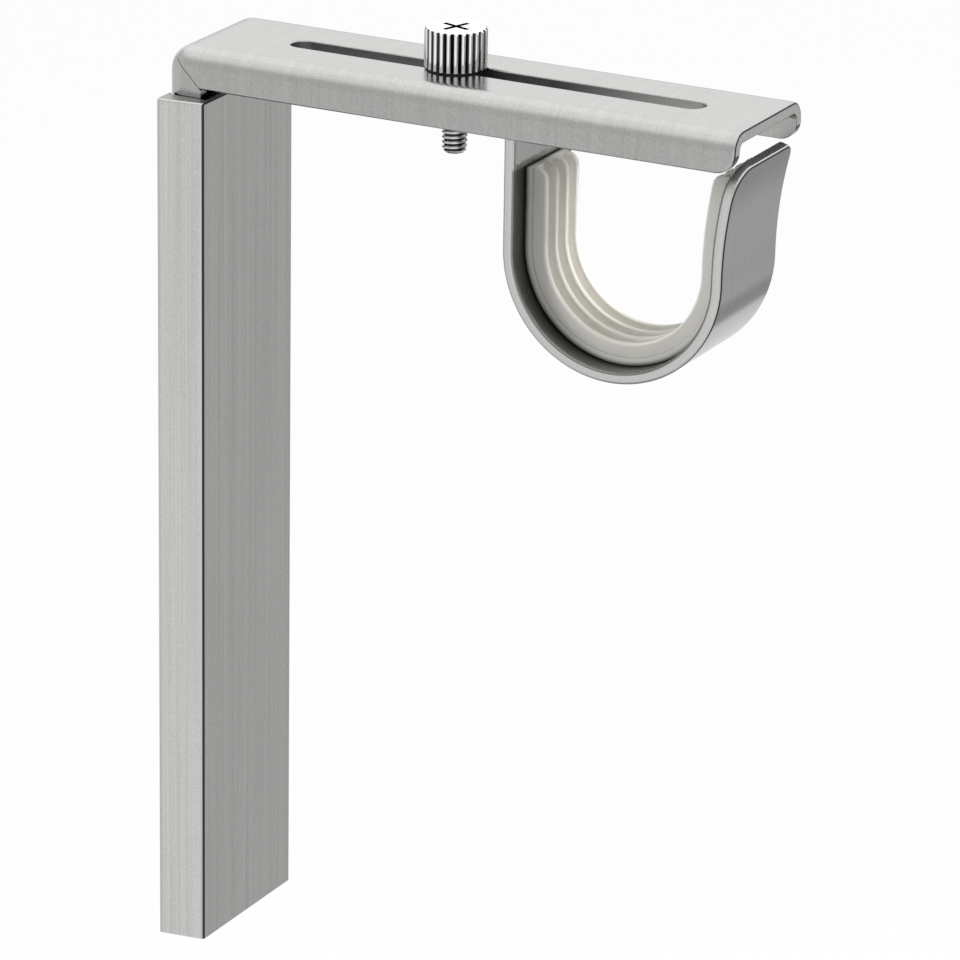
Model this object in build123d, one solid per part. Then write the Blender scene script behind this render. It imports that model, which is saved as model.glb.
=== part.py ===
from build123d import *
import os
from math import asin, cos, pi, sin, sqrt

# Curtain pole bracket for a wall: a folded steel angle with a slotted arm, a cover over its wall
# plate, and a bent strip that hangs from the slot on a thumb screw and cradles the pole.
# Millimetres. X runs out from the wall along the arm, Y across it and Z up. The origin lies on the
# wall, midway between the two fixing holes.

# Folded angle
sheet = 2.0
arm_width = 25.0
arm_reach = 104.0
channel_depth = 6.8
side_bend = 1.2
corner_bend = 2.3
tip_front_corner = 3.6
tip_back_corner = 3.0
seam_width = 0.12
seam_stop = 1.0

# Slot in the arm, measured from the wall
slot_width = 4.8
slot_start = 17.1
slot_end = 92.7

# Wall plate and its fixing holes, measured down from the top of the arm
plate_length = 156.85
hole_diameter = 5.0
hole_spacing = 100.0
top_hole_drop = 28.0

# Cover over the wall plate
cover_sheet = 0.7
cover_width = 30.0
cover_depth = 8.7
cover_splay = 1.0
cover_fold = 0.6
cover_rim_round = 0.4
cover_drop = 8.2
cover_back_gap = 0.3
cover_floor_gap = 0.1
hook_clearance = 0.3
lip_clearance = 0.25
fold_gap = 0.15

# Thumb screw
screw_diameter = 4.4
screw_length = 14.2
screw_reach = 47.6
tip_chamfer = 0.6
head_diameter = 10.4
head_height = 6.9
head_chamfer = 0.3
knurl_count = 25
knurl_depth = 0.5
recess_length = 4.8
recess_width = 1.0
recess_depth = 1.6

# Pole holder, a strip bent round the pole
pole_diameter = 28.0
strip = 2.0
strip_bend = 2.0
strip_clearance = 0.2
tab_relief = 0.3
tab_overhang = 7.0
tab_corner = 3.0
thread_clearance = 0.05
leg_reach = 14.35
cradle_drop = 25.9
flare_radius = 70.0
free_leg_drop = 7.0
free_front_corner = 5.2
free_back_corner = 2.2

# Ribbed liner inside the holder
liner_width = 12.4
liner_base = 1.3
liner_thickness = 3.6
liner_gap = 0.05
ridge_count = 4
ridge_width = 1.3
ridge_bevel = 0.35
ridge_end_round = 2.0
ridge_step = 0.15
liner_fixed_drop = 12.9
liner_free_drop = 9.8

# How far cuts run past a face, and how near counts as touching
beyond = 5.0
touch = 0.01

# Sizes that follow
side_bend_outer = side_bend + sheet
corner_bend_outer = corner_bend + sheet
inner_width = arm_width - 2 * sheet
arm_top = hole_spacing / 2 + top_hole_drop

holder_width = inner_width - 2 * strip_clearance
tab_width = inner_width - 2 * (side_bend + tab_relief)
cradle_outer = pole_diameter / 2 + liner_thickness + liner_gap + strip
fixed_leg_x = screw_reach + leg_reach
cradle_x = fixed_leg_x + cradle_outer
cradle_z = -cradle_drop
flare_x = cradle_x + cradle_outer + flare_radius

# All pieces are drawn with the top of the arm at zero height and raised into place at the end.
RAISE = Pos(0, 0, arm_top)


def across(profile, width):
    """Prism of a side view, centred across the arm."""
    return extrude(Plane.XZ * profile, width / 2, both=True)


def nearest(shape, x, z):
    """Corner of a side view that lies nearest a point."""
    return shape.vertices().sort_by_distance((x, z))[0]


def nearest_edge(solid, place):
    """Edge whose centre lies nearest a point."""
    return solid.edges().sort_by(lambda edge: (edge.center() - Vector(place)).length)[0]


def bend_edges(solid, inset, width, bend):
    """Long edges of the angle, on both sides, where its sheet turns into the side flanges."""
    middle = inset + bend * (1 - sqrt(0.5))
    chosen = []
    for edge in solid.edges():
        centre = edge @ 0.5
        on_side = abs(abs(centre.Y) - width / 2) < touch
        on_back = abs(centre.X - inset) < touch
        on_top = abs(centre.Z + inset) < touch
        on_corner = abs(centre.X - middle) < touch and abs(centre.Z + middle) < touch
        if on_side and (on_back or on_top or on_corner):
            chosen.append(edge)
    return chosen


def folded_block(inset, far, width, corner, side, floor, elbow):
    """Solid inside the outer or inner surface of the folded angle, rounded at its bends."""
    outline = Polyline(
        (inset, -floor),
        (inset, -inset),
        (far, -inset),
        (far, -elbow[1]),
        (elbow[0], -elbow[1]),
        (elbow[0], -floor),
        close=True,
    )
    face = make_face(outline)
    face = fillet(nearest(face, inset, -inset), corner)
    block = across(face, width)
    return fillet(bend_edges(block, inset, width, corner), side)


def make_angle_bracket():
    """Wall plate and slotted arm, one sheet with flanges on both sides."""
    reach = arm_reach
    floor = plate_length
    elbow = (channel_depth, channel_depth)
    outer = folded_block(0, reach, arm_width, corner_bend_outer, side_bend_outer, floor, elbow)

    # The hollow runs out past the open sides and ends of both channels.
    reach += beyond
    floor += beyond
    elbow = (arm_reach + beyond / 2, plate_length + beyond / 2)
    inner = folded_block(sheet, reach, inner_width, corner_bend, side_bend, floor, elbow)
    angle = outer - inner
    for hand, radius in ((-1, tip_front_corner), (1, tip_back_corner)):
        tip = (arm_reach, hand * (arm_width - sheet) / 2, -channel_depth)
        angle = fillet(nearest_edge(angle, tip), radius)

    slot = Pos((slot_start + slot_end) / 2, 0, -sheet / 2) * SlotOverall(slot_end - slot_start, slot_width)
    angle -= extrude(slot, sheet, both=True)

    for drop in (top_hole_drop, top_hole_drop + hole_spacing):
        angle -= Pos(0, 0, -drop) * Rot(0, 90, 0) * Cylinder(hole_diameter / 2, 2 * (sheet + beyond))

    # Each flange is parted along the diagonal of the corner, where the two folds meet.
    seam_length = channel_depth * sqrt(2) - corner_bend_outer * (sqrt(2) - 1) - seam_stop
    seam_centre = channel_depth - (seam_length - beyond) / 2 / sqrt(2)
    for hand in (-1, 1):
        place = Pos(seam_centre, hand * arm_width / 2, -seam_centre) * Rot(0, 45, 0)
        angle -= place * Box(seam_length + beyond, 2 * sheet, seam_width)
    return angle


def make_wall_cover():
    """Thin channel round the wall plate, with hooks behind it and a lip on top of each side."""
    top = -cover_drop
    bottom = -(plate_length + cover_floor_gap + cover_sheet)
    depth = cover_depth - cover_back_gap

    # The two sides spread apart towards the wall.
    front = cover_width / 2
    back = front + cover_splay
    corners = ((cover_depth, -front), (cover_depth, front), (cover_back_gap, back), (cover_back_gap, -back))
    plan = make_face(Polyline(*corners, close=True))
    hollow = offset(plan, -cover_sheet, kind=Kind.INTERSECTION)
    outline = fillet(plan.vertices(), cover_fold)
    shell = outline - hollow

    # The hooks end close to the rounded back edges of the plate.
    hook_face = cover_back_gap + cover_sheet
    hook = sqrt((side_bend_outer + hook_clearance) ** 2 - (side_bend_outer - hook_face) ** 2)
    hook_end = arm_width / 2 - side_bend_outer + hook
    shell -= Pos(cover_back_gap, 0) * Rectangle(2 * cover_sheet, 2 * hook_end)
    cover = Pos(0, 0, bottom) * extrude(shell, top - bottom)

    # Each side is folded in at the top, up to the plate's flange.
    lips = plan - Rectangle(4 * cover_depth, arm_width + 2 * lip_clearance)
    lips -= Pos(cover_depth, 0) * Rectangle(2 * (cover_sheet + fold_gap), 2 * (front - cover_sheet))
    cover += Pos(0, 0, top - cover_sheet) * extrude(lips & outline, cover_sheet)
    rim = Pos(0, 0, top) * outline.wire()
    rim_edges = [edge for edge in cover.edges().group_by(Axis.Z)[-1] if rim.distance_to(edge @ 0.5) < touch]
    cover = fillet(rim_edges, cover_rim_round)

    # The foot is a flap of the front face, folded back between the two sides.
    flap_width = cover_width - 2 * (cover_sheet + fold_gap)
    flap = Box(depth, flap_width, cover_sheet, align=(Align.MAX, Align.CENTER, Align.MIN))
    cover += Pos(cover_depth, 0, bottom) * flap
    fold = make_face(
        Curve()
        + [
            Line((cover_depth - cover_fold, bottom), (cover_depth, bottom)),
            Line((cover_depth, bottom), (cover_depth, bottom + cover_fold)),
            RadiusArc((cover_depth, bottom + cover_fold), (cover_depth - cover_fold, bottom), cover_fold),
        ]
    )
    return cover - across(fold, cover_width)


def make_thumb_screw():
    """Knurled head with a cross recess on a plain shank."""
    outer = head_diameter / 2
    step = pi / knurl_count
    ring = [(outer - knurl_depth * (i % 2), i * step) for i in range(2 * knurl_count)]
    teeth = make_face(Polyline(*[(r * cos(a), r * sin(a)) for r, a in ring], close=True))
    above = (Align.CENTER, Align.CENTER, Align.MIN)
    blank = Cylinder(outer, head_height, align=above)
    blank = chamfer(blank.edges().filter_by(GeomType.CIRCLE), head_chamfer)
    head = extrude(teeth, head_height) & blank

    groove = Box(recess_length, recess_width, 2 * recess_depth)
    for turn in (0, 90):
        head -= Pos(0, 0, head_height) * Rot(0, 0, turn) * groove

    below = (Align.CENTER, Align.CENTER, Align.MAX)
    shank = Cylinder(screw_diameter / 2, screw_length, align=below)
    shank = chamfer(shank.edges().sort_by(Axis.Z)[0], tip_chamfer)
    return Pos(screw_reach, 0, 0) * (head + shank)


def flare_point(depth, angle):
    """Point on the free leg, at a depth inside the strip's outer face."""
    radius = flare_radius + depth
    return (flare_x - radius * cos(angle), cradle_z + radius * sin(angle))


def cradle_band(near, far, fixed_drop, free_drop):
    """Side view of a layer that follows the cradle between two depths from its outer face."""
    end = asin((cradle_drop - free_drop) / flare_radius)

    def curve(depth):
        radius = cradle_outer - depth
        left = cradle_x - radius
        right = cradle_x + radius
        return [
            Line((left, -fixed_drop), (left, cradle_z)),
            ThreePointArc((left, cradle_z), (cradle_x, cradle_z - radius), (right, cradle_z)),
            ThreePointArc((right, cradle_z), flare_point(depth, end / 2), flare_point(depth, end)),
        ]

    ends = [
        Line((fixed_leg_x + near, -fixed_drop), (fixed_leg_x + far, -fixed_drop)),
        Line(flare_point(near, end), flare_point(far, end)),
    ]
    return make_face(Curve() + curve(near) + curve(far) + ends)


def make_pole_holder():
    """Strip bent from the tab under the arm, down one leg, round the pole and up the free leg."""
    tab_top = -sheet
    tab_end = screw_reach - tab_overhang
    tab_length = fixed_leg_x + strip - tab_end
    tab = Pos(tab_end + tab_length / 2, tab_top - strip / 2) * Rectangle(tab_length, strip)
    side_view = cradle_band(0, strip, sheet, free_leg_drop) + tab
    side_view = fillet(nearest(side_view, fixed_leg_x + strip, tab_top), strip_bend + strip)
    side_view = fillet(nearest(side_view, fixed_leg_x, tab_top - strip), strip_bend)
    holder = across(side_view, holder_width)

    # The tab and its bend are narrower, to lie clear of the rounded inside of the channel.
    relief_drop = sheet + strip + strip_bend
    relief = Box(tab_length + 2 * beyond, arm_width, 2 * relief_drop)
    for hand in (-1, 1):
        holder -= Pos(tab_end + tab_length / 2, hand * (tab_width + arm_width) / 2, 0) * relief

    tab_edges = holder.edges().filter_by(Axis.Z).filter_by(lambda edge: edge.center().X < tab_end + touch)
    holder = fillet(tab_edges, tab_corner)
    end = asin((cradle_drop - free_leg_drop) / flare_radius)
    tip_x, tip_z = flare_point(strip / 2, end)
    for hand, radius in ((-1, free_front_corner), (1, free_back_corner)):
        corner = (tip_x, hand * holder_width / 2, tip_z)
        holder = fillet(nearest_edge(holder, corner), radius)
    hole = Cylinder(screw_diameter / 2 + thread_clearance, 2 * (strip + beyond))
    return holder - Pos(screw_reach, 0, tab_top) * hole


def crest_side(point, back):
    """Whether a point of a ridge lies off the strip, on the side that faces the pole."""
    if point.Z < cradle_z:
        return sqrt((point.X - cradle_x) ** 2 + (point.Z - cradle_z) ** 2) < cradle_outer - back - touch
    if point.X < cradle_x:
        return point.X > fixed_leg_x + back + touch
    return sqrt((point.X - flare_x) ** 2 + (point.Z - cradle_z) ** 2) > flare_radius + back + touch


def make_holder_liner():
    """Plastic insert: a thin base along the strip with ridges that carry the pole."""
    back = strip + liner_gap
    crest = back + liner_thickness
    liner = across(cradle_band(back, back + liner_base, liner_fixed_drop, liner_free_drop), liner_width)

    end = asin((cradle_drop - liner_free_drop) / flare_radius)
    ridge_side = cradle_band(back, crest, liner_fixed_drop, liner_free_drop)
    ridge_side = fillet(nearest(ridge_side, fixed_leg_x + crest, -liner_fixed_drop), ridge_end_round)
    ridge_side = fillet(nearest(ridge_side, *flare_point(crest, end)), ridge_end_round)
    ridge = across(ridge_side, ridge_width)
    crest_edges = []
    for edge in ridge.edges():
        on_side = abs(abs((edge @ 0.5).Y) - ridge_width / 2) < touch
        if on_side and crest_side(edge @ 0.5, back):
            crest_edges.append(edge)
    ridge = chamfer(crest_edges, ridge_bevel)

    run = liner_width - 2 * ridge_step - ridge_width
    for i in range(ridge_count):
        liner += Pos(0, run * (i / (ridge_count - 1) - 0.5), 0) * ridge
    return liner


def main():
    os.makedirs("parts", exist_ok=True)
    pieces = {
        "angle_bracket": make_angle_bracket(),
        "wall_cover": make_wall_cover(),
        "thumb_screw": make_thumb_screw(),
        "pole_holder": make_pole_holder(),
        "holder_liner": make_holder_liner(),
    }
    for name, piece in pieces.items():
        export_step(RAISE * piece, f"parts/{name}.step")


main()
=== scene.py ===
import logging
import math
from abc import ABC, abstractmethod
from dataclasses import dataclass
from enum import Enum
from typing import Any, Mapping, Optional, Sequence, Union

import bmesh
import bpy
import numpy as np
from bpy.types import Material, Mesh, Object
from mathutils import Matrix, Vector


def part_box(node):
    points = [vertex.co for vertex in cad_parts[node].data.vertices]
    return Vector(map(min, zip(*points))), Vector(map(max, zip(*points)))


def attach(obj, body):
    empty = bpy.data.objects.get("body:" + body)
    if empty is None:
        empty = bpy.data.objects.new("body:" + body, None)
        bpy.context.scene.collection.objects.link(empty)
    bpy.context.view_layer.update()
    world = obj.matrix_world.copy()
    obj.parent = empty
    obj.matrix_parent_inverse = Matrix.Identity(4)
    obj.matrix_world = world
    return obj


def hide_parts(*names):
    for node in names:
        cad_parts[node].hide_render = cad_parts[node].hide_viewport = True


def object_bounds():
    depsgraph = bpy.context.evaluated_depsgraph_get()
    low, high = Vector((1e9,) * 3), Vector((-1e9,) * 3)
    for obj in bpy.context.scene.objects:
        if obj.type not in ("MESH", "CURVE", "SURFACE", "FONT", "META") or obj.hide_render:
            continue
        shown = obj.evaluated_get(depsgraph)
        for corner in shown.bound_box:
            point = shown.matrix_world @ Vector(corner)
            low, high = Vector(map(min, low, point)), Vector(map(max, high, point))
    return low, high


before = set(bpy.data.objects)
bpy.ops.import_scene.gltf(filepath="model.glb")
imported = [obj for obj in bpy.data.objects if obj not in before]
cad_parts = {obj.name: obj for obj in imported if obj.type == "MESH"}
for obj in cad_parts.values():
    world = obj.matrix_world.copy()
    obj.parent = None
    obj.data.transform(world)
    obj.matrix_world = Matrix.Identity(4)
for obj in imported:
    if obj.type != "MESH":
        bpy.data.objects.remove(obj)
CAD_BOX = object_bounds()
MM = 0.001
WHITE = (1.0, 1.0, 1.0, 1.0)
EDGE_KIND = "edge_kind"
FLAT_PLACE = "flat_place"
MERGE_DISTANCE = 2e-6
TOUCH_DISTANCE = 1e-7
EDGE_TURNS = (0, 22.5, 45, 67.5, 90)
END_FACING = 0.2
END_RUN = 0.7
LOG = logging.getLogger("pole_bracket")
Value = Union["Wire", float, Sequence[float]]
Out = Union[int, str]
Colour = tuple[float, ...]


class Wire:
    """A node's output socket. Arithmetic on it adds Math nodes to its tree."""

    def __init__(self, graph: "Graph", node: bpy.types.Node, out: Out) -> None:
        """Keeps one output of a node.

        Args:
            graph: the graph that the node belongs to.
            node: the node.
            out: the output, by name or number.
        """
        self.graph = graph
        self.node = node
        self.socket = node.outputs[out]

    def other(self, out: Out) -> "Wire":
        """Another output of the same node."""
        return Wire(self.graph, self.node, out)

    def math(self, operation: str, *values: Value) -> "Wire":
        """A Math node on this wire and further values, in their order."""
        return self.graph.math(operation, self, *values)

    def __add__(self, value: Value) -> "Wire":
        """self + value."""
        return self.math("ADD", value)

    __radd__ = __add__

    def __sub__(self, value: Value) -> "Wire":
        """self - value."""
        return self.math("SUBTRACT", value)

    def __rsub__(self, value: Value) -> "Wire":
        """value - self."""
        return self.graph.math("SUBTRACT", value, self)

    def __mul__(self, value: Value) -> "Wire":
        """self * value."""
        return self.math("MULTIPLY", value)

    __rmul__ = __mul__

    def __truediv__(self, value: Value) -> "Wire":
        """self / value."""
        return self.math("DIVIDE", value)

    def __abs__(self) -> "Wire":
        """self without its sign."""
        return self.math("ABSOLUTE")

    def __gt__(self, value: Value) -> "Wire":
        """1 where self is more than value."""
        return self.math("GREATER_THAN", value)

    def __lt__(self, value: Value) -> "Wire":
        """1 where self is less than value."""
        return self.math("LESS_THAN", value)

    def at_least(self, value: Value) -> "Wire":
        """The greater of self and value."""
        return self.math("MAXIMUM", value)

    def at_most(self, value: Value) -> "Wire":
        """The smaller of self and value."""
        return self.math("MINIMUM", value)

    def step(self, low: float, high: float) -> "Wire":
        """A smooth step from 0 at low to 1 at high."""
        limits = {"Value": self, "From Min": low, "From Max": high}
        return self.graph.node("ShaderNodeMapRange", limits, interpolation_type="SMOOTHSTEP")


class Graph:
    """A node tree that is filled through one method."""

    def __init__(self, tree: bpy.types.NodeTree) -> None:
        """Empties the tree.

        Args:
            tree: the shader or geometry tree to fill.
        """
        self.tree = tree
        tree.nodes.clear()

    def node(
        self, kind: str, inputs: Optional[Mapping[Out, Any]] = None, out: Out = 0, **settings: Any
    ) -> Optional[Wire]:
        """Adds a node.

        Args:
            kind: the node's type.
            inputs: values, wires or lists of wires for its sockets, by name or number.
            out: the output to hand back.
            settings: its properties, set before the sockets.

        Returns:
            The chosen output, or None where the node has no output.
        """
        made = self.tree.nodes.new(kind)
        for name, value in settings.items():
            setattr(made, name, value)
        for key, value in (inputs or {}).items():
            for wire in value if isinstance(value, list) else [value]:
                if isinstance(wire, Wire):
                    self.tree.links.new(wire.socket, made.inputs[key])
                else:
                    made.inputs[key].default_value = wire
        return Wire(self, made, out) if len(made.outputs) else None

    def math(self, operation: str, *values: Value) -> Wire:
        """A Math node on the given values, in their order."""
        return self.node("ShaderNodeMath", dict(enumerate(values)), operation=operation)

    def vector(self, operation: str, *values: Value, out: Out = 0) -> Wire:
        """A Vector Math node on the given values, in their order."""
        return self.node("ShaderNodeVectorMath", dict(enumerate(values)), out, operation=operation)

    def combine(self, x: Value = 0.0, y: Value = 0.0, z: Value = 0.0) -> Wire:
        """A vector from its three parts."""
        return self.node("ShaderNodeCombineXYZ", {0: x, 1: y, 2: z})

    def parts(self, vector: Wire) -> tuple[Wire, Wire, Wire]:
        """The three parts of a vector."""
        first = self.node("ShaderNodeSeparateXYZ", {0: vector})
        return first, first.other(1), first.other(2)

    def blend(self, factor: Value, low: Value, high: Value) -> Wire:
        """A colour between two, by a factor from 0 to 1."""
        sockets = {0: factor, 6: low, 7: high}
        return self.node("ShaderNodeMix", sockets, 2, data_type="RGBA", clamp_factor=True)

    def noise(
        self, place: Wire, scale: Union[float, tuple[float, ...]], detail: float = 3.0, rough: float = 0.5
    ) -> Wire:
        """Noise from 0 to 1.

        Args:
            place: the coordinates to read.
            scale: cycles per metre, for all axes or for each.
            detail: how many finer layers are added.
            rough: how strong each finer layer is.

        Returns:
            The noise's value.
        """
        each = scale if isinstance(scale, tuple) else (scale,) * 3
        moved = self.node("ShaderNodeMapping", {"Vector": place, "Scale": each})
        sockets = {"Vector": moved, "Scale": 1.0, "Detail": detail, "Roughness": rough}
        return self.node("ShaderNodeTexNoise", sockets)

    def relief(self, height: Wire, strength: float, distance: float) -> Wire:
        """A normal that follows a height, with the relief's distance in metres."""
        return self.node("ShaderNodeBump", {"Strength": strength, "Distance": distance, "Height": height})


class MaterialGraph(Graph):
    """The tree of a new material."""

    def __init__(self, name: str) -> None:
        """Makes the material.

        Args:
            name: the material's name.
        """
        self.made = bpy.data.materials.new(name)
        self.made.use_nodes = True
        super().__init__(self.made.node_tree)

    def close(self, shader: Wire) -> Material:
        """Ends the tree in a shader and hands back the material."""
        self.node("ShaderNodeOutputMaterial", {"Surface": shader})
        return self.made

    def principled(self, inputs: Mapping[str, Value]) -> Material:
        """Ends the tree in a principled shader and hands back the material."""
        return self.close(self.node("ShaderNodeBsdfPrincipled", inputs))


class GeometryGraph(Graph):
    """A geometry tree with named inputs, one of them the material, that turns a mesh into another."""

    SOCKETS = (
        (float, "NodeSocketFloat"),
        (int, "NodeSocketInt"),
        (Object, "NodeSocketObject"),
        (Material, "NodeSocketMaterial"),
    )

    def __init__(self, name: str, values: Mapping[str, Any]) -> None:
        """Makes the tree.

        Args:
            name: the tree's name.
            values: the value of each named input.
        """
        super().__init__(bpy.data.node_groups.new(name, "GeometryNodeTree"))
        self.values = values
        face = self.tree.interface
        face.new_socket("Geometry", in_out="OUTPUT", socket_type="NodeSocketGeometry")
        face.new_socket("Geometry", in_out="INPUT", socket_type="NodeSocketGeometry")
        self.sockets = {}
        for key, value in values.items():
            kind = next(socket for plain, socket in self.SOCKETS if isinstance(value, plain))
            self.sockets[key] = face.new_socket(key, in_out="INPUT", socket_type=kind)
        self.entry = self.node("NodeGroupInput")

    def given(self, name: str) -> Wire:
        """The wire of a named input."""
        return self.entry.other(name)

    def cylinder(self, points: int, rows: int, radius: Wire, depth: Value) -> Wire:
        """A cylinder round Z with its middle at zero."""
        sockets = {"Vertices": points, "Side Segments": rows, "Radius": radius, "Depth": depth}
        return self.node("GeometryNodeMeshCylinder", sockets, fill_type="NGON")

    def turned(self, blank: Wire, reach: Wire, lift: Wire) -> Wire:
        """Turns a cylinder to a new radius.

        Args:
            blank: the cylinder.
            reach: the new radius at each point, as a share of the old one.
            lift: how far the shape is moved up.

        Returns:
            The turned shape.
        """
        spot = self.node("GeometryNodeInputPosition")
        scaled = self.vector("MULTIPLY", spot, self.combine(reach, reach, 1.0))
        moved = self.vector("ADD", scaled, self.combine(z=lift))
        return self.node("GeometryNodeSetPosition", {"Geometry": blank, "Position": moved})

    def minus(self, whole: Wire, cutter: Wire, crossing: bool = False) -> Wire:
        """A shape with another cut out of it, whose own parts may cross each other."""
        sockets = {"Mesh 1": whole, "Mesh 2": cutter, "Self Intersection": crossing}
        return self.node("GeometryNodeMeshBoolean", sockets, operation="DIFFERENCE", solver="EXACT")

    def bent_along(self, flat: Wire, path: Wire) -> Wire:
        """Bends a flat shape round a path.

        Args:
            flat: geometry whose X is length along the path, Y across it and Z depth from its outer face.
            path: the path's object.

        Returns:
            The bent geometry.
        """
        along, across, depth = self.parts(self.node("GeometryNodeInputPosition"))
        line = self.node("GeometryNodeObjectInfo", {"Object": path}, "Geometry")
        sockets = {"Curves": line, "Length": along}
        sample = self.node("GeometryNodeSampleCurve", sockets, "Position", mode="LENGTH")
        inward = self.vector("CROSS_PRODUCT", sample.other("Tangent"), (0.0, 1.0, 0.0))
        deep = self.node("ShaderNodeVectorMath", {0: inward, "Scale": depth}, operation="SCALE")
        place = self.vector("ADD", self.vector("ADD", sample, deep), self.combine(y=across))
        return self.node("GeometryNodeSetPosition", {"Geometry": flat, "Position": place})

    def close(self, geometry: Wire) -> None:
        """Ends the tree in Realize Instances and Set Material.

        Args:
            geometry: the shape that goes out.
        """
        whole = self.node("GeometryNodeRealizeInstances", {"Geometry": geometry})
        sockets = {"Geometry": whole, "Material": self.given("Material")}
        self.node("NodeGroupOutput", {"Geometry": self.node("GeometryNodeSetMaterial", sockets)})

    def mesh(self, start: Optional[Mesh] = None) -> Mesh:
        """Runs the tree on a mesh.

        Args:
            start: the mesh that goes in, or None for an empty one.

        Returns:
            The plain mesh that comes out.
        """
        sockets = {socket.identifier: self.values[key] for key, socket in self.sockets.items()}
        start = start or bpy.data.meshes.new(self.tree.name)
        return modified(start, "NODES", {"node_group": self.tree}, sockets)


def add_object(name: str, data: bpy.types.ID) -> Object:
    """A new object in the scene.

    Args:
        name: the object's name.
        data: its mesh, light or camera.

    Returns:
        The linked object.
    """
    made = bpy.data.objects.new(name, data)
    bpy.context.scene.collection.objects.link(made)
    return made


def modified(
    mesh: Mesh, kind: str, settings: Mapping[str, Any], sockets: Optional[Mapping[str, Any]] = None
) -> Mesh:
    """A mesh with one modifier applied.

    Args:
        mesh: the mesh that goes in.
        kind: the modifier's type.
        settings: its properties.
        sockets: values of a geometry tree's inputs, by identifier.

    Returns:
        The plain mesh that comes out.
    """
    carrier = add_object(mesh.name, mesh)
    modifier = carrier.modifiers.new(kind.lower(), kind)
    for name, value in settings.items():
        setattr(modifier, name, value)
    for name, value in (sockets or {}).items():
        modifier[name] = value
    bpy.context.view_layer.update()
    graph = bpy.context.evaluated_depsgraph_get()
    made = bpy.data.meshes.new_from_object(carrier.evaluated_get(graph), depsgraph=graph)
    bpy.data.objects.remove(carrier)
    return made


class Grain(Enum):
    """Which way a metal's brushing runs: cycles per metre along each axis of the coordinates."""

    ACROSS_ARM = (2600.0, 40.0, 40.0)
    UPRIGHT = (2100.0, 2100.0, 16.0)
    ALONG_STRIP = (30.0, 2400.0, 2400.0)


class EdgeKind(Enum):
    """How a face of a sheet was made, or that it carries a painted dark line which stands in for a dark
    reflection. The value is kept on the face for its finish to read.
    """

    # This kind is no cut: its faces get a painted dark line, a painted reflection.
    DULLED = -1.0
    PLATED = 0.0
    SHEARED = 1.0
    PUNCHED = 2.0


class Coordinates(Enum):
    """What a finish reads its pattern from: the piece's own space or its place before bending."""

    OBJECT = "object"
    FLAT = "flat"

    def wire(self, graph: Graph) -> Wire:
        """Adds the node that reads the coordinates.

        Args:
            graph: the finish's tree.

        Returns:
            A vector in metres.
        """
        if self is Coordinates.OBJECT:
            return graph.node("ShaderNodeTexCoord", out="Object")
        return graph.node("ShaderNodeAttribute", out="Vector", attribute_name=FLAT_PLACE)


@dataclass(frozen=True)
class Footprint:
    """The part of the flat strip that another piece covers, with painted shade round it, in metres."""

    start: float
    end: float
    half: float
    depth: float
    past_end: float
    past_side: float

    def painted_shade(self, graph: Graph, place: Wire) -> Wire:
        """How much painted shade lies at a place, standing in for the shade and dark reflection next to the
        covering piece.

        Args:
            graph: the finish's tree.
            place: the place on the flat strip.

        Returns:
            1 on the covered part, falling to 0 round it. Faces below the given depth get none.
        """
        along, across, level = graph.parts(place)
        over_end = abs(along - (self.start + self.end) / 2) - (self.end - self.start) / 2
        over_side = abs(across) - self.half
        near = (1.0 - over_end.step(0.0, self.past_end)) * (1.0 - over_side.step(0.0, self.past_side))
        return near * (level > self.depth)


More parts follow.
